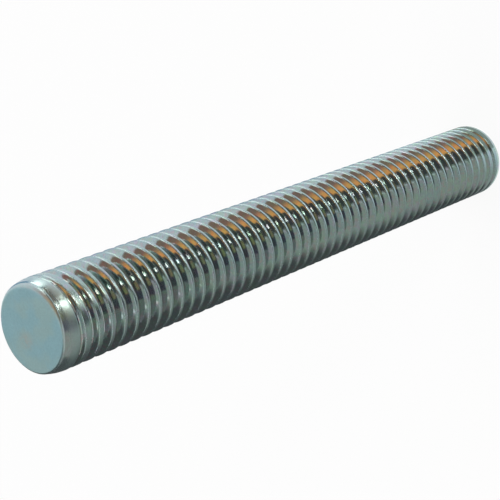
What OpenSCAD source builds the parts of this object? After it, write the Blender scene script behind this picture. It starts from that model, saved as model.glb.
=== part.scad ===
// Fully threaded rod: a round bar with a right-hand ISO metric groove run along its whole length.
// It stands on its bottom end, with the axis along +Z and the origin at the centre of that end.

/* [Thread] */
// Nominal diameter of the thread
nominal_d = 6; // [5:0.5:12]
// Distance along the axis from one crest to the next
pitch = 1; // [0.7:0.05:1.25]
// How far the crest diameter lies under the nominal one, as rolled and plated
crest_allowance = 0.12; // [0:0.01:0.18]
// Angle between the two flanks of the groove
flank_angle = 60; // [55:1:60]
// Width of the flat at the bottom of the groove
root_flat = 0.16; // [0.1:0.01:0.18]

/* [Rod] */
// Length over the two end faces
rod_length = 49.3; // [25:0.1:52]

/* [Ends] */
// How far the chamfer comes in from the first crest, measured on the radius
chamfer = 0.14; // [0.1:0.01:0.5]
// Radius that blends the end face into the chamfer
face_blend = 0.3; // [0.05:0.05:0.6]
// Radius that blends the chamfer into the first crest
crest_blend = 0.15; // [0.05:0.05:0.3]

/* [Thread start] */
// Turns in which the thread comes to its full form from each end
lead_turns = 6; // [1:0.5:8]
// How far the crest at the top end lies under the full crest, measured on the radius
top_drop = 0.16; // [0:0.01:0.25]
// The same at the bottom end, where the rod was cut from full thread
bottom_drop = 0; // [0:0.01:0.25]
// How far the groove has to sink before it breaks the first land, so that the rims stay whole
rim_cover = 0.16; // [0.1:0.01:0.25]
// How the groove deepens over those turns: a smaller value brings it in sooner
run_in = 0.5; // [0.3:0.05:1]

/* [Quality] */
// Flat steps in one turn of the groove
steps_per_turn = 28; // [12:1:28]

/* [Hidden] */
bright_zinc = [0.66, 0.71, 0.73];

crest_r = (nominal_d - crest_allowance) / 2;
root_r = nominal_d / 2 - 0.61343 * pitch;          // ISO 68-1: the root lies 17/24 of the V's height down
thread_depth = crest_r - root_r;
flank_run = tan(flank_angle / 2);                  // width gained for each unit of depth
mouth_half = 0.49 * pitch;                         // the cutter's turns stop just short of each other
reach = (mouth_half - root_flat / 2) / flank_run;  // full height of the cutter
lead = lead_turns * pitch;
bevel = chamfer * sqrt(2);                         // slant length that the two blends have to share

first_turn = -0.6;                                 // the cutter runs in from outside both ends
last_turn = rod_length / pitch + 0.6;
steps = ceil((last_turn - first_turn) * steps_per_turn);

// Radius of the groove's root at height z: it starts at or above the end's first land and sinks from
// there, so the groove breaks that land a little way in from the end face
function root_at(z) =
    let (s = max(0, min(z, rod_length - z)),
         above = max(0, rim_cover - (z > rod_length / 2 ? top_drop : bottom_drop)))
    crest_r + above - (thread_depth + above) * pow(sin(90 * min(1, s / lead)), run_in);

// One section of the cutter: lower mouth, lower root, upper root, upper mouth
function section(i) =
    let (a = 360 * (first_turn + i / steps_per_turn),
         z = pitch * a / 360,
         inner = root_at(z),
         outer = max(root_r + reach, inner + 0.05),   // always clear of the root, also past the end
         mouth = root_flat / 2 + (outer - inner) * flank_run)
    [for (p = [[outer, -mouth], [inner, -root_flat / 2], [inner, root_flat / 2], [outer, mouth]])
        [p[0] * cos(a), p[0] * sin(a), z + p[1]]];

// Points of an arc about c, from angle a0 to a1
function arc(c, r, a0, a1, n = 4) =
    [for (i = [0:n]) let (a = a0 + (a1 - a0) * i / n) [c[0] + r * cos(a), c[1] + r * sin(a)]];

// Half profile of one end, from the axis out to the full crest, with the end face at z = 0
function end_profile(drop) =
    let (start_r = crest_r - drop,                 // the bar's radius where the chamfer meets it
         face_r = start_r - chamfer,
         t1 = min(face_blend * tan(22.5), 0.64 * bevel),
         t2 = min(crest_blend * tan(22.5), 0.34 * bevel),
         r1 = t1 / tan(22.5),
         r2 = t2 / tan(22.5),
         s0 = chamfer + t2)
    concat(
        [[0, 0]],
        arc([face_r - t1, r1], r1, -90, -45),
        arc([start_r - r2, s0], r2, -45, 0),
        [for (i = [1:6]) if (drop > 0) [start_r + drop * sin(15 * i), s0 + (lead - s0) * i / 6]]);

// The solid bar before threading, chamfered and blended at both ends
module blank() {
    low = end_profile(bottom_drop);
    top = end_profile(top_drop);
    n = len(top);
    high = [for (i = [0:n - 1]) [top[n - 1 - i][0], rod_length - top[n - 1 - i][1]]];
    rotate_extrude($fn = 96) polygon(concat(low, high));
}

// The helical groove as a solid, swept one section at a time
module groove() {
    points = [for (i = [0:steps]) each section(i)];
    sides = [for (i = [0:steps - 1], j = [0:3])
        let (a = 4 * i + j, b = 4 * i + (j + 1) % 4) each [[a, a + 4, b], [b, a + 4, b + 4]]];
    last = 4 * steps;
    polyhedron(
        points = points,
        faces = concat([[0, 1, 2, 3]], [[last + 3, last + 2, last + 1, last]], sides),
        convexity = 10);
}

module threaded_rod() {
    color(bright_zinc)
    difference() {
        blank();
        groove();
    }
}

threaded_rod();
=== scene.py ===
"""Fully threaded rod in bright zinc: a fine rolled thread, its finish, and a pale studio round it."""

from __future__ import annotations

import logging
import math
from dataclasses import dataclass, field
from enum import Enum, auto
from typing import Any

import bpy
import numpy as np
from mathutils import Euler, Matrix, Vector

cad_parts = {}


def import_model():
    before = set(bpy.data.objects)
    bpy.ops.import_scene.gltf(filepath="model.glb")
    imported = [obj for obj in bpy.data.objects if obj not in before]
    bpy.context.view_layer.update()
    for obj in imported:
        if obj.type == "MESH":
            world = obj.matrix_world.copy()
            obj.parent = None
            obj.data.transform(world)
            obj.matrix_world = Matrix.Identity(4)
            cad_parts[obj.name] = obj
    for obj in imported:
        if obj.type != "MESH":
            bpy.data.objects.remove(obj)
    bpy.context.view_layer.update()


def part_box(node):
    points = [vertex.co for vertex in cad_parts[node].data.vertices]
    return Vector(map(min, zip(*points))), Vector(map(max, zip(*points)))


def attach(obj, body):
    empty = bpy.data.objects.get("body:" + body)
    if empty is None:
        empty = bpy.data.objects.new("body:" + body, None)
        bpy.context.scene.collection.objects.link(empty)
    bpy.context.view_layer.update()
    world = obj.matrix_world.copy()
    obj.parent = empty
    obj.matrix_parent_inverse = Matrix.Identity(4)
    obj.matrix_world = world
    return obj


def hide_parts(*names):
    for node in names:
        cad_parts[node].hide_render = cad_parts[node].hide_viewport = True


log = logging.getLogger("threaded_rod")

MM = 0.001  # metres in a millimetre
NODE = "threaded_rod"

Colour = tuple[float, float, float]
Point = tuple[float, float, float]
Span = tuple[float, float]
Ring = tuple[np.ndarray, np.ndarray]  # a radius and a depth under the end face, at every column

WHITE: Colour = (1.0, 1.0, 1.0)


# ---------------------------------------------------------------- shader maths


class Wire:
    """A shader socket that can be used in plain arithmetic."""

    def __init__(self, desk: Desk, socket: bpy.types.NodeSocket | None) -> None:
        """Keeps the socket and the desk that makes its nodes.

        Args:
            desk: the node tree's builder.
            socket: an output socket, or None for a node that has none.
        """
        self.desk = desk
        self.socket = socket

    def _math(self, operation: str, *operands: Operand, clamp: bool = False) -> Wire:
        """One Math node on these operands."""
        return self.desk.node(
            "ShaderNodeMath", {"operation": operation, "use_clamp": clamp}, dict(enumerate(operands))
        )

    def __add__(self, other: Operand) -> Wire:
        """self + other."""
        return self._math("ADD", self, other)

    def __radd__(self, other: Operand) -> Wire:
        """other + self."""
        return self._math("ADD", other, self)

    def __sub__(self, other: Operand) -> Wire:
        """self - other."""
        return self._math("SUBTRACT", self, other)

    def __rsub__(self, other: Operand) -> Wire:
        """other - self."""
        return self._math("SUBTRACT", other, self)

    def __mul__(self, other: Operand) -> Wire:
        """self * other."""
        return self._math("MULTIPLY", self, other)

    def __rmul__(self, other: Operand) -> Wire:
        """other * self."""
        return self._math("MULTIPLY", other, self)

    def clamped(self) -> Wire:
        """The value held between 0 and 1."""
        return self._math("ADD", self, 0.0, clamp=True)

    def larger(self, other: Operand) -> Wire:
        """The larger of the two values."""
        return self._math("MAXIMUM", self, other)

    def beside(self, name: str) -> Wire:
        """Another output of the same node."""
        return Wire(self.desk, self.socket.node.outputs[name])

    def ramp(self, low: float, high: float) -> Wire:
        """A smooth step.

        Args:
            low: the value that gives 0.
            high: the value that gives 1.

        Returns:
            The step, which falls if high is below low.
        """
        return self.desk.node(
            "ShaderNodeMapRange",
            {"interpolation_type": "SMOOTHSTEP"},
            {"Value": self, "From Min": low, "From Max": high},
        )


Operand = Wire | float
Paint = Wire | Colour


def opaque(paint: Paint) -> Wire | tuple[float, ...]:
    """A colour with its alpha, or a Wire as it is."""
    return paint if isinstance(paint, Wire) else (*paint, 1.0)


class Desk:
    """Builds one node tree."""

    def __init__(self, tree: bpy.types.NodeTree) -> None:
        """Starts on an emptied tree.

        Args:
            tree: the tree to fill.
        """
        self.tree = tree
        tree.nodes.clear()

    def node(
        self,
        kind: str,
        settings: dict[str, Any] | None = None,
        inputs: dict[int | str, Any] | None = None,
        out: int | str = 0,
    ) -> Wire:
        """Adds a node.

        Args:
            kind: the node's type.
            settings: attributes that are set first.
            inputs: a value or a Wire for each socket, by name or number.
            out: the output socket to return, by name or number.

        Returns:
            The output socket, wrapped.
        """
        made = self.tree.nodes.new(kind)
        for key, value in (settings or {}).items():
            setattr(made, key, value)
        for key, value in (inputs or {}).items():
            if isinstance(value, Wire):
                self.tree.links.new(value.socket, made.inputs[key])
            else:
                made.inputs[key].default_value = value
        return Wire(self, made.outputs[out] if len(made.outputs) else None)

    def blend(self, share: Operand, first: Paint, second: Paint, mode: str = "MIX") -> Wire:
        """Mixes two colours.

        Args:
            share: how much of the second.
            first: a colour or a Wire.
            second: a colour or a Wire.
            mode: the blend mode.

        Returns:
            The mixed colour.
        """
        return self.node(
            "ShaderNodeMix",
            {"data_type": "RGBA", "blend_type": mode},
            {0: share, 6: opaque(first), 7: opaque(second)},
            out=2,
        )

    def vector(self, operation: str, *vectors: Wire | Point, out: str = "Vector") -> Wire:
        """Works on vectors.

        Args:
            operation: what is done to them.
            vectors: one or two vectors.
            out: Vector, or Value where the result is a number.

        Returns:
            The result.
        """
        return self.node("ShaderNodeVectorMath", {"operation": operation}, dict(enumerate(vectors)), out)

    def noise(self, where: Wire, stretch: Point, scale: float, detail: float, rough: float) -> Wire:
        """A noise value.

        Args:
            where: the vector that it is read at.
            stretch: what each axis of that vector is multiplied by.
            scale: features for each unit of the vector.
            detail: octaves.
            rough: how strong the finer octaves are.

        Returns:
            The noise, about 0 to 1.
        """
        where = self.vector("MULTIPLY", where, stretch)
        return self.node(
            "ShaderNodeTexNoise",
            inputs={"Vector": where, "Scale": scale, "Detail": detail, "Roughness": rough},
        )


def seen_rays(desk: Desk) -> Wire:
    """1 for camera, glossy and transmission rays, and 0 for light that falls on surfaces.

    Args:
        desk: the tree that it is made in.

    Returns:
        The switch.
    """
    camera = desk.node("ShaderNodeLightPath", out="Is Camera Ray")
    return camera.larger(camera.beside("Is Glossy Ray")).larger(camera.beside("Is Transmission Ray"))


# ------------------------------------------------------------------- finishes


@dataclass(frozen=True)
class Finish:
    """A finish that is one shader."""

    name: str

    def shader(self, desk: Desk) -> Wire:
        """Makes the shader.

        Args:
            desk: the tree that it is made in.

        Returns:
            The shader.
        """
        raise NotImplementedError

    def material(self) -> bpy.types.Material:
        """Makes the finish.

        Returns:
            The material.
        """
        made = bpy.data.materials.new(self.name)
        made.use_nodes = True
        desk = Desk(made.node_tree)
        desk.node("ShaderNodeOutputMaterial", inputs={"Surface": self.shader(desk)})
        return made


class PlateTone(Enum):
    """Tints of the plate, as the red, green and blue that it mirrors, and the painted shade of the groove's
    root.
    """

    PLATE = (0.48, 0.56, 0.54)
    BLUE = (0.41, 0.54, 0.60)
    STRAW = (0.58, 0.56, 0.44)
    ROSE = (0.60, 0.47, 0.49)
    GREEN = (0.46, 0.64, 0.54)
    LILAC = (0.56, 0.54, 0.66)
    CREST = (0.45, 0.60, 0.62)
    # Painted shade: a dark tone laid in the groove's root, where shade falls between the flanks
    ROOT = (0.20, 0.22, 0.21)
    COLLAR = (0.55, 0.70, 0.72)
    END = (0.32, 0.52, 0.56)
    SMUDGE = (0.38, 0.53, 0.51)
    BRUISE = (0.47, 0.48, 0.43)


class Pattern(Enum):
    """Noise patterns of the plate: the stretch of the axes, features in a millimetre, octaves, roughness."""

    CLOUDS = ((1.0, 1.0, 1.0), 0.55, 3.0, 0.5)
    MOTTLE = ((1.0, 1.0, 1.0), 2.6, 4.0, 0.6)
    FILM = ((1.0, 1.0, 1.7), 1.1, 3.0, 0.6)
    BLOOM = ((-1.0, 1.0, 1.5), 1.4, 3.0, 0.6)
    SPECK = ((1.0, 1.0, 1.0), 7.0, 2.0, 0.6)
    FLECK = ((1.0, -1.0, 1.0), 3.2, 3.0, 0.7)
    ROLLED = ((0.9, 0.9, 14.0), 1.0, 3.0, 0.6)
    PITS = ((1.0, 1.0, 1.0), 9.0, 3.0, 0.5)


class Place(Enum):
    """Places on the rod that the finish tells apart."""

    END = auto()
    CREST = auto()
    ROOT = auto()
    START = auto()
    COLLAR = auto()
    RIM = auto()
    BRUISE = auto()


Masks = dict[Pattern | Place, Wire]


@dataclass(frozen=True)
class Share:
    """How much of something shows from point to point.

    Attributes:
        most: the most that shows, away from the start of the thread.
        pattern: the noise that it follows, if it follows one.
        span: the noise's values that show none and the most, or nothing for the noise as it is.
        place: the place that it keeps to, if it keeps to one.
        at_start: what the start of the thread adds to the most.
    """

    most: float
    pattern: Pattern | None = None
    span: Span | None = None
    place: Place | None = None
    at_start: float = 0.0

    def amount(self, masks: Masks) -> Operand:
        """Works the share out.

        Args:
            masks: the value of each pattern and place.

        Returns:
            The amount.
        """
        shown: Operand = masks[Place.START] * self.at_start + self.most if self.at_start else self.most
        if self.pattern:
            noise = masks[self.pattern].ramp(*self.span) if self.span else masks[self.pattern]
            shown = (masks[self.place] * noise if self.place else noise) * shown
        elif self.place:
            shown = masks[self.place] * shown
        return shown


Layer = tuple[PlateTone, Share]


@dataclass(frozen=True)
class BrightZinc(Finish):
    """Bright zinc plate with a blue passivation, over a rolled thread.

    Lengths are in millimetres. A band is a pair of distances under the top face or under the crest, where a
    place begins and where it is full.

    Attributes:
        crest_r: radius over the thread's crests.
        root_r: radius of the thread's root.
        length: from face to face.
        skin: how far from a face its finish reaches.
        crest_band: the worn crests.
        root_rise: how far over the root its painted shade reaches.
        start_band: the start of the thread, at the top.
        collar_band: the collar under the top rim.
        rim_band: the top rim.
        bruise_at: the middle of the brown spot on the top face.
        bruise_span: the distances from there that show none and the most of it.
        layers: tints of the thread, with the painted shade in the root among them, from the lowest to the
            uppermost.
        end_layers: tints of the end faces.
        end_share: how much of those shows over the thread's.
        shade: the least shade, and what is added to it.
        rough: the least roughness, and what is added to it.
        relief: parts of the fine relief.
        relief_strength: strength of the relief.
        relief_depth: depth of the relief.
    """

    crest_r: float
    root_r: float
    length: float
    skin: float = 0.05
    crest_band: Span = (0.14, 0.02)
    root_rise: float = 0.16
    start_band: Span = (7.0, 1.5)
    collar_band: Span = (1.6, 0.8)
    rim_band: Span = (0.22, 0.06)
    bruise_at: Span = (-0.69, -0.65)
    bruise_span: Span = (0.85, 0.15)
    layers: tuple[Layer, ...] = (
        (PlateTone.BLUE, Share(0.70, Pattern.CLOUDS, (0.38, 0.62))),
        (PlateTone.STRAW, Share(0.45, Pattern.MOTTLE, (0.55, 0.75))),
        (PlateTone.ROSE, Share(0.5, Pattern.FLECK, (0.50, 0.60), at_start=0.3)),
        (PlateTone.GREEN, Share(0.5, Pattern.FLECK, (0.47, 0.38), at_start=0.4)),
        (PlateTone.CREST, Share(0.7, place=Place.CREST)),
        (PlateTone.GREEN, Share(0.6, Pattern.FILM, (0.50, 0.64))),
        (PlateTone.LILAC, Share(0.6, Pattern.BLOOM, (0.52, 0.66))),
        # Painted shade in the groove's root
        (PlateTone.ROOT, Share(0.85, place=Place.ROOT)),
        (PlateTone.COLLAR, Share(0.7, place=Place.COLLAR)),
    )
    end_layers: tuple[Layer, ...] = (
        (PlateTone.SMUDGE, Share(0.8, Pattern.CLOUDS, (0.42, 0.62))),
        (PlateTone.BRUISE, Share(0.7, Pattern.MOTTLE, (0.30, 0.60), Place.BRUISE)),
    )
    end_share: Share = Share(0.9, place=Place.END)
    shade: tuple[Share, ...] = (Share(0.80), Share(0.26, Pattern.SPECK), Share(0.14, Pattern.ROLLED))
    rough: tuple[Share, ...] = (
        Share(0.05),
        Share(0.07, Pattern.MOTTLE),
        Share(0.03, Pattern.SPECK),
        Share(0.08, place=Place.ROOT),
        Share(0.16, place=Place.CREST),
        Share(0.10, place=Place.COLLAR),
        Share(0.16, place=Place.RIM),
    )
    relief: tuple[Share, ...] = (
        Share(0.6, Pattern.ROLLED),
        Share(0.12, Pattern.SPECK),
        Share(3.0, Pattern.MOTTLE, place=Place.START),
        Share(0.8, Pattern.PITS, place=Place.END),
    )
    relief_strength: float = 0.12
    relief_depth: float = 0.010

    def shader(self, desk: Desk) -> Wire:
        """Makes the plate's shader.

        Args:
            desk: the tree that it is made in.

        Returns:
            The shader.
        """
        masks = self._masks(desk)
        colour = self._painted(desk, masks, PlateTone.PLATE, self.layers)
        face_colour = self._painted(desk, masks, PlateTone.END, self.end_layers)
        colour = desk.blend(self.end_share.amount(masks), colour, face_colour)
        shade = self._total(masks, self.shade)
        grey = desk.node("ShaderNodeCombineColor", inputs={0: shade, 1: shade, 2: shade})
        bump = desk.node("ShaderNodeBump", inputs={
            "Strength": self.relief_strength,
            "Distance": self.relief_depth * MM,
            "Height": self._total(masks, self.relief),
        }, out="Normal")
        return desk.node("ShaderNodeBsdfPrincipled", inputs={
            "Base Color": desk.blend(1.0, colour, grey, "MULTIPLY"),
            "Metallic": 1.0,
            "Roughness": self._total(masks, self.rough).clamped(),
            "Normal": bump,
        })

    def _masks(self, desk: Desk) -> Masks:
        """Works out every pattern and place.

        Args:
            desk: the tree that they are made in.

        Returns:
            The value of each, from 0 to 1.
        """
        mm = desk.vector("MULTIPLY", desk.node("ShaderNodeTexCoord", out="Object"), (1 / MM,) * 3)
        height = desk.node("ShaderNodeSeparateXYZ", inputs={0: mm}, out="Z")
        radius = desk.vector("LENGTH", desk.vector("MULTIPLY", mm, (1.0, 1.0, 0.0)), out="Value")
        off_bruise = desk.vector("DISTANCE", mm, (*self.bruise_at, self.length), out="Value")

        def under(top: float, value: Wire, band: Span) -> Wire:
            """Mask of a band under a top value."""
            return value.ramp(top - band[0], top - band[1])

        end = height.ramp(self.skin, 0.0).larger(under(self.length, height, (self.skin, 0.0)))
        side = 1 - end
        masks: Masks = {kind: desk.noise(mm, *kind.value) for kind in Pattern}
        masks[Place.END] = end
        masks[Place.CREST] = under(self.crest_r, radius, self.crest_band) * side
        # The groove's root, which gets painted shade and a rougher plate
        masks[Place.ROOT] = radius.ramp(self.root_r + self.root_rise, self.root_r) * side
        masks[Place.START] = under(self.length, height, self.start_band)
        masks[Place.COLLAR] = under(self.length, height, self.collar_band)
        masks[Place.RIM] = under(self.length, height, self.rim_band)
        masks[Place.BRUISE] = off_bruise.ramp(*self.bruise_span)
        return masks

    @staticmethod
    def _painted(desk: Desk, masks: Masks, base: PlateTone, layers: tuple[Layer, ...]) -> Paint:
        """Lays tints over each other.

        Args:
            desk: the tree that they are made in.
            masks: the value of each pattern and place.
            base: the tone under them.
            layers: the tints, from the lowest to the uppermost.

        Returns:
            The colour.
        """
        colour: Paint = base.value
        for tone, share in layers:
            colour = desk.blend(share.amount(masks), colour, tone.value)
        return colour

    @staticmethod
    def _total(masks: Masks, shares: tuple[Share, ...]) -> Wire:
        """Adds shares up.

        Args:
            masks: the value of each pattern and place.
            shares: the shares, one of them at least with a pattern or a place.

        Returns:
            The sum.
        """
        total = shares[0].amount(masks)
        for share in shares[1:]:
            total = total + share.amount(masks)
        return total


@dataclass(frozen=True)
class StudioFloor(Finish):
    """Matt white sweep under the rod, which keeps the rod's soft shadow.

    Attributes:
        white: its colour for the light that falls on it.
        glow: how much of it is plain white paper where it is seen.
    """

    white: Colour = (0.90, 0.90, 0.90)
    glow: float = 0.90

    def shader(self, desk: Desk) -> Wire:
        """Makes the floor's shader.

        Args:
            desk: the tree that it is made in.

        Returns:
            The shader.
        """
        matt = desk.node("ShaderNodeBsdfDiffuse", inputs={"Color": opaque(self.white)})
        paper = desk.node("ShaderNodeEmission", inputs={"Color": opaque(WHITE), "Strength": 1.0})
        return desk.node("ShaderNodeMixShader", inputs={0: seen_rays(desk) * self.glow, 1: matt, 2: paper})


class CardTone(Enum):
    """Tones of the studio's cards, as the light that each sends back."""

    BLACK = (0.060, 0.066, 0.066)
    ORANGE = (1.00, 0.47, 0.15)
    BROWN = (0.30, 0.19, 0.15)
    RUST = (0.62, 0.28, 0.11)
    OLIVE = (0.20, 0.20, 0.12)
    SAND = (0.50, 0.41, 0.22)
    GREY = (0.35, 0.385, 0.35)
    MID_GREY = (0.34, 0.33, 0.30)
    SOFT_GREY = (0.70, 0.76, 0.80)
    LOW = (0.085, 0.09, 0.09)
    BLUE = (0.24, 0.36, 0.50)
    PLUM = (0.12, 0.11, 0.135)
    PALE = (0.60, 0.65, 0.67)
    PALE_SIDE = (0.76, 0.79, 0.83)
    LEMON = (1.9, 1.9, 1.45)
    WINDOW = (2.3, 2.3, 2.1)
    LAMP = (5.0, 5.0, 4.4)
    LIGHT = (17.0, 16.2, 14.3)


@dataclass(frozen=True)
class CardGlow(Finish):
    """Glow of a card, which may go from one tone to another across it.

    Attributes:
        tone: its tone.
        far_tone: the tone that it goes to, if there is one.
        fade: the shares of its sweep between which it does.
    """

    tone: CardTone
    far_tone: CardTone | None
    fade: Span

    def shader(self, desk: Desk) -> Wire:
        """Makes the card's shader.

        Args:
            desk: the tree that it is made in.

        Returns:
            The shader.
        """
        colour: Paint = self.tone.value
        if self.far_tone:
            across = desk.node("ShaderNodeAttribute", {"attribute_name": "across"}, out="Fac")
            colour = desk.blend(across.ramp(*self.fade), colour, self.far_tone.value)
        return desk.node("ShaderNodeEmission", inputs={"Color": opaque(colour), "Strength": 1.0})


# ------------------------------------------------------------- meshes, objects


def placed(name: str, data: bpy.types.ID) -> bpy.types.Object:
    """Puts a mesh, lamp or camera in the scene.

    Args:
        name: the object's name.
        data: what it shows.

    Returns:
        The object.
    """
    made = bpy.data.objects.new(name, data)
    bpy.context.scene.collection.objects.link(made)
    return made


def direction(azimuth: float, elevation: float) -> Vector:
    """The unit vector at these two angles, in radians."""
    flat = math.cos(elevation)
    return Vector((math.cos(azimuth) * flat, math.sin(azimuth) * flat, math.sin(elevation)))


class Skin:
    """A mesh that goes round an axis, in columns. Lengths are in millimetres."""

    def __init__(self, columns: int) -> None:
        """Starts without points or faces.

        Args:
            columns: how many columns go round.
        """
        self.columns = columns
        self.angles = 2 * math.pi * np.arange(columns) / columns
        self.points: list[Point] = []
        self.faces: list[list[int]] = []

    def point(self, column: int, radius: float, height: float) -> int:
        """Adds a point.

        Args:
            column: its column.
            radius: its distance from the axis.
            height: its height.

        Returns:
            Its number.
        """
        angle = self.angles[column]
        self.points.append((radius * math.cos(angle), radius * math.sin(angle), height))
        return len(self.points) - 1

    def ring(self, radius: np.ndarray, height: np.ndarray) -> list[int]:
        """Adds a point in every column, at these radii and heights, and gives their numbers."""
        return [self.point(k, radius[k], height[k]) for k in range(self.columns)]

    def face(self, *corners: int) -> None:
        """Adds a face unless it has shrunk to a line.

        Args:
            corners: point numbers in order, which may repeat.
        """
        kept = [int(c) for i, c in enumerate(corners) if c != corners[i - 1]]
        if len(set(kept)) == len(kept) and len(kept) > 2:
            self.faces.append(kept)

    def close(self, edge: list[int], rings: list[Ring], end: float, inward: int) -> None:
        """Closes one end, from the ring at its edge to the centre of its face.

        Args:
            edge: the ring at the edge.
            rings: the rings from there to the flat of the face.
            end: height of the face.
            inward: 1 where the rod lies over the face, and -1 where it lies under it.
        """
        following = [(k + 1) % self.columns for k in range(self.columns)]
        before = edge
        for radius, depth in rings:
            after = self.ring(radius, end + inward * depth)
            for k, other in enumerate(following):
                # Turned round at the top, so that every face looks outward
                self.face(*[before[k], after[k], after[other], before[other]][::inward])
            before = after
        centre = self.point(0, 0.0, end)
        for k, other in enumerate(following):
            self.face(*[before[k], centre, before[other]][::inward])

    def mesh(self, name: str) -> bpy.types.Mesh:
        """Makes the mesh, in metres and shaded smooth.

        Args:
            name: the mesh's name.

        Returns:
            The mesh.
        """
        made = bpy.data.meshes.new(name)
        made.from_pydata([tuple(c * MM for c in p) for p in self.points], [], self.faces)
        made.validate()
        made.shade_smooth()
        return made


# ------------------------------------------------------------------------ rod

# Where the thread's section is cut, on one side of the groove
BOWL_CUTS = (0.0, 0.045, 0.085, 0.12)        # millimetres out from the root's centre
FLANK_CUTS = (0.4, 0.75)                     # shares of the straight flank
CORNER_CUTS = (-1.0, -0.5, 0.0, 0.5, 0.95)   # shares of the crest's rounding, about the mouth
LAND_CUTS = (0.55, 1.0)                      # shares of the rest, to the middle of the land

# Where the ends are cut: degrees round each blend, and shares of the face's radius
CREST_BLEND_CUTS = (0, 9, 18, 27, 36, 45)
FACE_BLEND_CUTS = (45, 38, 31, 24, 17, 10, 4, 0)
SHOULDER_CUTS = (90, 80, 70, 60, 50, 41, 33, 25, 17, 9, 0)
FACE_CUTS = (0.97, 0.85, 0.6, 0.3)


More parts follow.
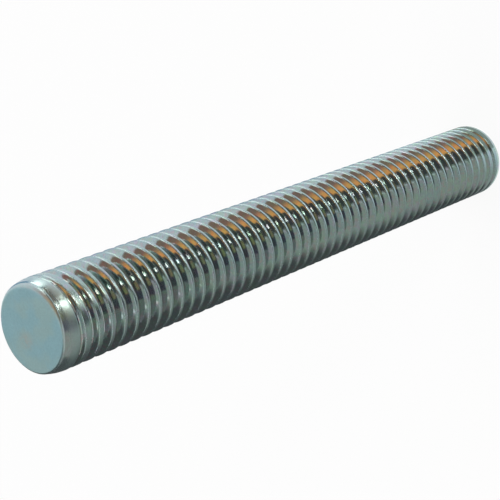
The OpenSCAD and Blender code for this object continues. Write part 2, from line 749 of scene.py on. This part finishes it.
@dataclass
class ThreadedRod:
    """The rod's fine surface. Lengths are in millimetres and angles in degrees, as a maker states them.

    Attributes:
        length: from face to face.
        crest_r: radius over the crests.
        nominal_d: nominal diameter of the thread.
        pitch: distance from one crest to the next.
        flank_angle: angle between the groove's flanks.
        depth_ratio: how far the root lies under the nominal radius, for each unit of pitch.
        root_flat: width of the flat root that the rounded one is drawn in.
        crest_round: how far the rounding of a crest's edge reaches.
        lead: distance from an end at which the groove has its full depth.
        rim_cover: how far over the bottom land the groove's root starts.
        run_in: how the groove deepens from the bottom. A smaller value brings it in sooner.
        groove_start: distance from the top face at which the groove starts.
        top_run_in: how the groove deepens from there.
        chamfer: size of the bottom chamfer.
        face_blend: radius from the bottom face into the chamfer.
        crest_blend: radius from the chamfer into the first crest.
        chamfer_angle: angle of the chamfer to the face.
        shoulder_drop: how far the top land falls to its rim.
        shoulder_length: over what length it falls.
        shoulder_form: how it falls. A larger value keeps the fall nearer the rim.
        rim_depth: depth of the soft rim at the top.
        face_r: radius of the flat of the top face, but for the broad side.
        broad_at: where round the rod the soft rim is broadest.
        broad_spread: how far round it is broad.
        broad_depth: how much deeper it is there.
        broad_cut: how much smaller the flat is there.
        low_collar: distance from the bottom face at which the thread begins.
        top_collar: distance from the top face at which it ends.
        least_mouth: the least half width of the groove that its section is cut for.
        most_mouth: the greatest, as a share of the pitch.
        full_mouth: the half width from which the root is cut at its full width.
        columns: sections in one turn.
    """

    length: float
    crest_r: float
    nominal_d: float = 6.0
    pitch: float = 1.0
    flank_angle: float = 60.0
    depth_ratio: float = 0.61343
    root_flat: float = 0.16
    crest_round: float = 0.085
    lead: float = 6.0
    rim_cover: float = 0.16
    run_in: float = 0.5
    groove_start: float = 0.95
    top_run_in: float = 0.42
    chamfer: float = 0.14
    face_blend: float = 0.3
    crest_blend: float = 0.15
    chamfer_angle: float = 45.0
    shoulder_drop: float = 0.22
    shoulder_length: float = 1.3
    shoulder_form: float = 2.2
    rim_depth: float = 0.15
    face_r: float = 2.61
    broad_at: float = 72.0
    broad_spread: float = 48.0
    broad_depth: float = 0.24
    broad_cut: float = 0.27
    low_collar: float = 0.24
    top_collar: float = 0.44
    least_mouth: float = 0.2
    most_mouth: float = 0.43
    full_mouth: float = 0.3
    columns: int = 72

    @property
    def root_r(self) -> float:
        """Radius of the full groove's root."""
        return self.nominal_d / 2 - self.depth_ratio * self.pitch

    @property
    def flank_run(self) -> float:
        """Width that the groove gains for each unit of depth."""
        return math.tan(math.radians(self.flank_angle / 2))

    def land(self, z: np.ndarray) -> np.ndarray:
        """Radius of the bar before threading, past the rims.

        Args:
            z: heights over the bottom face.

        Returns:
            The radius at each height, which is full but for the shoulder at the top end.
        """
        share = np.clip((self.length - z) / self.shoulder_length, 0, 1)
        return self.crest_r - self.shoulder_drop * (1 - share) ** self.shoulder_form

    def root(self, z: np.ndarray) -> np.ndarray:
        """Radius of the groove's root.

        Args:
            z: heights of the groove's centre.

        Returns:
            The radius at each height. It lies over the land where the groove hasn't begun.
        """
        quarter = math.pi / 2
        deep = self.crest_r - self.root_r
        sunk = np.sin(np.clip(z, 0, self.lead) / self.lead * quarter) ** self.run_in
        low = self.crest_r + self.rim_cover - (deep + self.rim_cover) * sunk
        run = self.lead - self.groove_start
        share = (self.length - z - self.groove_start) / run
        top = self.crest_r - deep * np.sin(np.clip(share, 0, 1) * quarter) ** self.top_run_in
        top = top + np.maximum(-share, 0) * run
        return np.where(z > self.length / 2, top, low)

    def groove(self, offset: np.ndarray, root: np.ndarray) -> np.ndarray:
        """Radius of the groove's own form, with a rounded root.

        Args:
            offset: distances along the axis from the groove's centre.
            root: radius of the root there.

        Returns:
            The radius at each offset.
        """
        radius = self.root_flat / 2 / self.flank_run
        x = np.abs(offset)
        bowl = radius - np.sqrt(np.maximum(radius**2 - x**2, 0))
        flank = (x - self.root_flat / 2) / self.flank_run
        return root + np.where(x < radius * math.cos(math.radians(self.flank_angle / 2)), bowl, flank)

    def soft_min(self, a: np.ndarray, b: np.ndarray) -> np.ndarray:
        """The smaller of two radii, with the corner between them rounded."""
        h = np.clip(0.5 + 0.5 * (b - a) / self.crest_round, 0, 1)
        return b * (1 - h) + a * h - self.crest_round * h * (1 - h)

    def half_offsets(self, mouth: np.ndarray) -> np.ndarray:
        """Where the section is cut on one side of the groove, from its centre to the middle of the land.

        Args:
            mouth: half width of the groove at the land, one for each section.

        Returns:
            Offsets, one row for each section.
        """
        mouth = np.clip(mouth, self.least_mouth, self.most_mouth * self.pitch)[:, None]
        bowl = np.array([BOWL_CUTS]) * np.minimum(1, mouth / self.full_mouth)
        blend = self.crest_round * self.flank_run
        flank = bowl[:, -1:] + (mouth - blend - bowl[:, -1:]) * np.array([FLANK_CUTS])
        corner = mouth + blend * np.array([CORNER_CUTS])
        land = corner[:, -1:] + (self.pitch / 2 - corner[:, -1:]) * np.array([LAND_CUTS])
        return np.concatenate([bowl, flank, corner, land], axis=1)

    def sections(self) -> tuple[np.ndarray, np.ndarray, int]:
        """Samples the thread on a grid that follows the helix.

        Returns:
            Heights and radii, one row for each column of the grid, and the samples in a pitch.
        """
        half = len(BOWL_CUTS + FLANK_CUTS + CORNER_CUTS + LAND_CUTS) - 1
        turns = np.arange(-2, int(self.length / self.pitch) + 3)
        heights, radii = [], []
        for k in range(self.columns):
            centre = self.pitch * (turns + k / self.columns)
            root = self.root(centre)
            depth = np.maximum(self.land(centre) - root, 0)
            offsets = self.half_offsets(self.root_flat / 2 + depth * self.flank_run)
            cut = self.groove(offsets, root[:, None])
            up, down = centre[:, None] + offsets, centre[:, None] - offsets
            for grid, over, under in (
                (heights, up, down),
                (radii, self.soft_min(cut, self.land(up)), self.soft_min(cut, self.land(down))),
            ):
                # From each groove's centre to the middle of its land, then on into the next groove
                grid.append(np.concatenate([over[:-1], under[1:, half - 1:0:-1]], axis=1).ravel())
        return np.array(heights), np.array(radii), 2 * half

    def low_rim(self) -> list[Ring]:
        """Rings of the bottom end, from the collar in to the flat of the face.

        Returns:
            The radius and depth of each ring at every column.
        """
        bend = math.tan(math.radians(self.chamfer_angle / 2))
        foot = self.chamfer + self.crest_blend * bend
        flat = self.crest_r - self.chamfer - self.face_blend * bend
        rings = [(self.crest_r - self.crest_blend * (1 - math.cos(a)), foot - self.crest_blend * math.sin(a))
                 for a in map(math.radians, CREST_BLEND_CUTS)]
        rings += [(flat + self.face_blend * math.sin(a), self.face_blend * (1 - math.cos(a)))
                  for a in map(math.radians, FACE_BLEND_CUTS)]
        rings += [(flat * share, 0.0) for share in FACE_CUTS]
        return [(np.full(self.columns, radius), np.full(self.columns, depth)) for radius, depth in rings]

    def top_rim(self, angles: np.ndarray) -> list[Ring]:
        """Rings of the top end, whose soft rim is broader on one side.

        Args:
            angles: where each column stands, in radians.

        Returns:
            The radius and depth of each ring at every column.
        """
        away = np.arccos(np.cos(angles - math.radians(self.broad_at)))
        broad = np.exp(-(away / math.radians(self.broad_spread)) ** 2)
        rim_depth = self.rim_depth + self.broad_depth * broad
        face_r = self.face_r - self.broad_cut * broad
        edge_r = self.land(self.length - rim_depth)
        rings = [(face_r + (edge_r - face_r) * math.sin(a), rim_depth * (1 - math.cos(a)))
                 for a in map(math.radians, SHOULDER_CUTS)]
        return rings + [(face_r * share, np.zeros(self.columns)) for share in FACE_CUTS]

    def build(self) -> bpy.types.Object:
        """Makes the rod's mesh and dresses it.

        Returns:
            The object.
        """
        skin = Skin(self.columns)
        low = np.full(self.columns, self.low_collar)
        high = np.full(self.columns, self.length - self.top_collar)
        low_ring = skin.ring(self.land(low), low)
        high_ring = skin.ring(self.land(high), high)
        self._add_thread(skin, low_ring, high_ring)
        skin.close(low_ring, self.low_rim(), 0.0, inward=1)
        skin.close(high_ring, self.top_rim(skin.angles), self.length, inward=-1)

        mesh = skin.mesh("rolled_thread_rod")
        plate = BrightZinc("bright_zinc_blue", self.crest_r, self.root_r, self.length)
        mesh.materials.append(plate.material())
        made = placed("rolled_thread_rod", mesh)
        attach(made, "root")
        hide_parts(NODE)
        return made

    def _add_thread(self, skin: Skin, low_ring: list[int], high_ring: list[int]) -> None:
        """Adds the thread between the two collars.

        Args:
            skin: the mesh to add to.
            low_ring: the ring that stands for all of the grid under the bottom collar.
            high_ring: the ring that stands for all of the grid over the top collar.
        """
        heights, radii, per_pitch = self.sections()
        columns, rows = heights.shape
        index = np.zeros(heights.shape, int)
        for k in range(columns):
            for row in range(rows):
                if heights[k, row] <= self.low_collar:
                    index[k, row] = low_ring[k]
                elif heights[k, row] >= self.length - self.top_collar:
                    index[k, row] = high_ring[k]
                else:
                    index[k, row] = skin.point(k, radii[k, row], heights[k, row])
        for k in range(columns):
            other = (k + 1) % columns
            climb = per_pitch if other == 0 else 0  # after a whole turn the helix is one pitch up
            for row in range(rows - 1 - climb):
                skin.face(index[k, row], index[other, row + climb],
                          index[other, row + 1 + climb], index[k, row + 1])


# --------------------------------------------------------------------- studio


@dataclass
class Panel:
    """A panel of the studio, seen only in the rod's shine.

    Attributes:
        name: its name.
        tone: its tone.
        sweep: where round the rod it starts and ends, in degrees.
        far_tone: the tone that it goes to across its sweep, if there is one.
        fade: the shares of its sweep between which it does.
        step: degrees between its points.
    """

    name: str
    tone: CardTone
    sweep: Span
    far_tone: CardTone | None = field(default=None, kw_only=True)
    fade: Span = field(default=(0.0, 1.0), kw_only=True)
    step: float = field(default=4.0, kw_only=True)

    def outline(self, target: Vector) -> tuple[list[Vector], int]:
        """Points of the panel.

        Args:
            target: the middle of the rod.

        Returns:
            The points, row by row, and how many are in a row.
        """
        raise NotImplementedError

    def _turns(self, span: Span) -> np.ndarray:
        """Angles over a span, in radians."""
        return np.radians(np.linspace(*span, max(2, round((span[1] - span[0]) / self.step) + 1)))

    def build(self, target: Vector) -> bpy.types.Object:
        """Makes the panel.

        Args:
            target: the middle of the rod.

        Returns:
            The object, hidden from the camera and from diffuse and shadow rays.
        """
        points, wide = self.outline(target)
        faces = [(j * wide + i, (j + 1) * wide + i, (j + 1) * wide + i + 1, j * wide + i + 1)
                 for j in range(len(points) // wide - 1) for i in range(wide - 1)]
        mesh = bpy.data.meshes.new(self.name)
        mesh.from_pydata(points, [], faces)
        across = mesh.attributes.new("across", "FLOAT", "POINT")
        across.data.foreach_set("value", [(i % wide) / (wide - 1) for i in range(len(points))])
        mesh.materials.append(CardGlow(self.name + "_tone", self.tone, self.far_tone, self.fade).material())
        made = placed(self.name, mesh)
        made.visible_camera = False
        made.visible_diffuse = False
        made.visible_shadow = False
        return made


@dataclass
class Card(Panel):
    """A curved card that stands round the rod.

    Attributes:
        rise: its foot and head, in degrees over the rod's middle.
        distance: how far from there it stands, in metres.
        lean: degrees that its sweep, given at its foot, moves on for each degree that it rises.
    """

    rise: Span
    distance: float = 0.5
    lean: float = 0.0

    def outline(self, target: Vector) -> tuple[list[Vector], int]:
        """Points of the card.

        Args:
            target: the middle of the rod.

        Returns:
            The points, row by row, and how many are in a row.
        """
        across, up = self._turns(self.sweep), self._turns(self.rise)
        points = [target + self.distance * direction(a, e)
                  for e in up for a in across + self.lean * (e - up[0])]
        return points, len(across)


@dataclass
class Mat(Panel):
    """A mat that lies on the floor.

    Attributes:
        reach: its near and far radius from the rod's axis, in metres.
        lift: how far it lies over the floor, in metres.
    """

    reach: Span
    lift: float = 0.0004

    def outline(self, target: Vector) -> tuple[list[Vector], int]:
        """Points of the mat.

        Args:
            target: the middle of the rod.

        Returns:
            The points, row by row, and how many are in a row.
        """
        across = self._turns(self.sweep)
        points = [Vector((target.x + r * math.cos(a), target.y + r * math.sin(a), self.lift))
                  for r in self.reach for a in across]
        return points, len(across)


@dataclass
class SoftLamp:
    """A round soft lamp that faces the rod and doesn't show in its shine.

    Attributes:
        name: its name.
        azimuth: where round the rod it stands, in degrees.
        elevation: how high over the rod's middle, in degrees.
        size: its diameter, in metres.
        watts: its power.
        distance: from the rod's middle, in metres.
        colour: the colour of its light.
    """

    name: str
    azimuth: float
    elevation: float
    size: float
    watts: float
    distance: float
    colour: Colour = WHITE

    def build(self, target: Vector) -> bpy.types.Object:
        """Makes the lamp.

        Args:
            target: the point that it faces.

        Returns:
            The lamp.
        """
        data = bpy.data.lights.new(self.name, "AREA")
        data.shape = "DISK"
        data.size = self.size
        data.energy = self.watts
        data.color = self.colour
        way = direction(math.radians(self.azimuth), math.radians(self.elevation))
        made = placed(self.name, data)
        made.location = target + way * self.distance
        made.rotation_euler = way.to_track_quat("Z", "Y").to_euler()
        made.visible_glossy = False
        return made


@dataclass
class Studio:
    """White floor and surround, soft lamps, and the panels that the rod mirrors.

    Attributes:
        target: the middle of the rod.
        floor_half: half the floor's side, in metres.
        shed: strength of the surround for the light that it sheds. It is 1 where it is seen.
    """

    target: Vector
    floor_half: float = 2.0
    shed: float = 0.45

    def build(self) -> None:
        """Makes the floor, the surround, the panels and the lamps."""
        self._floor()
        self._surround()
        for part in (*self._cards(), *self._mats(), *self._lamps()):
            part.build(self.target)

    @staticmethod
    def _cards() -> tuple[Card, ...]:
        """The near walls, and the far cards that show over and between them."""
        tone = CardTone
        return (
            Card("card_black_wall", tone.BLACK, (24, 92), (-13.6, 4), 0.10),
            Card("card_rust_wall", tone.RUST, (43, 88), (-13.6, -8.0), 0.099),
            Card("card_black_band", tone.BLACK, (3, 24), (-2.6, 16), 0.10),
            Card("card_spot", tone.LIGHT, (30, 41), (-12.8, -6.2), 0.099),
            Card("card_sand_wall", tone.SAND, (3, 24), (-13.6, -2.6), 0.10),
            Card("card_dark_wall", tone.PLUM, (-22, 3), (-13.6, 18), 0.10),
            Card("card_mid_wall", tone.MID_GREY, (-84, -22), (-13.6, 30), 0.108),
            Card("card_low_wall", tone.LOW, (-175, -84), (-13.6, 26), 0.108),
            Card("card_blue_wall", tone.BLUE, (92, 165), (-13.6, 18), 0.10),
            Card("card_small_light", tone.LAMP, (78, 86), (0.6, 3.4), 0.0985),
            Card("card_shoulder_light", tone.WINDOW, (96, 121), (-13.6, 12), 0.099),
            Card("card_black_front", tone.BLACK, (-4, 84), (15, 82)),
            Card("card_gap_side", tone.GREY, (24, 92), (3, 16), 0.102),
            Card("card_pale_side", tone.PALE_SIDE, (100, 170), (17, 74)),
            Card("card_orange_side", tone.ORANGE, (8, 103), (40, 76), 0.49,
                 lean=2.4, far_tone=tone.BROWN, fade=(0.14, 0.64)),
            Card("card_light_edge", tone.SOFT_GREY, (-6.5, -3), (60, 80), 0.48),
            Card("card_grey_side", tone.GREY, (-74, 4), (34, 84)),
            Card("card_fade_side", tone.LOW, (-104, -74), (24, 60), far_tone=tone.GREY),
            Card("card_low_side", tone.LOW, (-150, -104), (12, 70)),
            Card("card_pale_back", tone.PALE, (168, 212), (24, 58)),
            Card("card_side_window", tone.WINDOW, (84, 100), (24, 38), 0.46),
        )

    @staticmethod
    def _mats() -> tuple[Mat, ...]:
        """The mats on the floor round the rod."""
        tone = CardTone
        return (
            Mat("mat_front", tone.GREY, (-40, 14), (0.002, 0.057), far_tone=tone.SOFT_GREY),
            Mat("mat_side", tone.LOW, (-120, -40), (0.002, 0.108), far_tone=tone.GREY),
            Mat("mat_far_side", tone.LOW, (-185, -120), (0.002, 0.108)),
            Mat("mat_foot", tone.GREY, (14, 175), (0.002, 0.0065)),
            Mat("mat_end_grey", tone.GREY, (-40, -19), (0.057, 0.108)),
            Mat("mat_end_black", tone.BLACK, (-24, 9), (0.042, 0.108), lift=0.0008),
            Mat("mat_end_mid", tone.GREY, (9, 24), (0.057, 0.10)),
            Mat("mat_back", tone.PALE_SIDE, (14, 175), (0.0065, 0.108), lift=0.0002),
            Mat("mat_end_lemon", tone.LEMON, (24, 34), (0.057, 0.10)),
            Mat("mat_end_olive", tone.OLIVE, (42, 60), (0.057, 0.10)),
        )

    @staticmethod
    def _lamps() -> tuple[SoftLamp, ...]:
        """A small warm key lamp, and two broad white ones that fill in."""
        return (
            SoftLamp("lamp_key", 38, 50, 0.05, 0.06, 0.30, (1.0, 0.98, 0.94)),
            SoftLamp("lamp_fill", 120, 60, 0.5, 1.4, 0.6),
            SoftLamp("lamp_side", -120, 50, 0.5, 0.9, 0.6),
        )

    def _floor(self) -> None:
        """Makes the floor at the height that the rod stands on."""
        s = self.floor_half
        mesh = bpy.data.meshes.new("studio_floor")
        mesh.from_pydata([(-s, -s, 0), (s, -s, 0), (s, s, 0), (-s, s, 0)], [], [(0, 1, 2, 3)])
        mesh.materials.append(StudioFloor("studio_floor_white").material())
        placed("studio_floor", mesh)

    def _surround(self) -> None:
        """Makes a white surround, dimmer for the light that it sheds."""
        world = bpy.data.worlds.new("studio_surround")
        bpy.context.scene.world = world
        world.use_nodes = True
        desk = Desk(world.node_tree)
        level = self.shed + seen_rays(desk) * (1 - self.shed)
        glow = desk.node("ShaderNodeBackground", inputs={"Color": opaque(WHITE), "Strength": level})
        desk.node("ShaderNodeOutputWorld", inputs={"Surface": glow})


@dataclass
class CameraRig:
    """The camera over the rod's top end, which lies nearest. Lengths are in metres, angles in degrees.

    Attributes:
        location: where it stands.
        turn: how it is turned about X, Y and Z.
        lens: its focal length, in millimetres.
        sensor: the width of its sensor, in millimetres.
        nearest: the nearest thing that it sees.
        furthest: the furthest.
    """

    location: Point = (0.060397, 0.009933, 0.094760)
    turn: Point = (-18.9197, 39.6208, -18.6082)
    lens: float = 93.453
    sensor: float = 36.0
    nearest: float = 0.002
    furthest: float = 20.0

    def build(self) -> bpy.types.Object:
        """Makes the camera.

        Returns:
            The camera.
        """
        data = bpy.data.cameras.new("camera")
        data.lens = self.lens
        data.sensor_width = self.sensor
        data.clip_start = self.nearest
        data.clip_end = self.furthest
        made = placed("camera", data)
        made.location = self.location
        made.rotation_euler = Euler([math.radians(a) for a in self.turn], "XYZ")
        bpy.context.scene.camera = made
        return made


def main() -> None:
    """Builds the rod, the studio and the camera, and logs the rod's faces and length."""
    logging.basicConfig(level=logging.INFO, format="%(name)s: %(message)s")
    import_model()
    low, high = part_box(NODE)
    rod = ThreadedRod(length=(high.z - low.z) / MM, crest_r=min(high.x, high.y, -low.x, -low.y) / MM)
    made = rod.build()
    log.info("%s: %d faces, %.1f mm long", made.name, len(made.data.polygons), rod.length)
    Studio(target=(low + high) / 2).build()
    CameraRig().build()
    bpy.context.scene.view_settings.view_transform = "Standard"


if __name__ == "__main__":
    main()
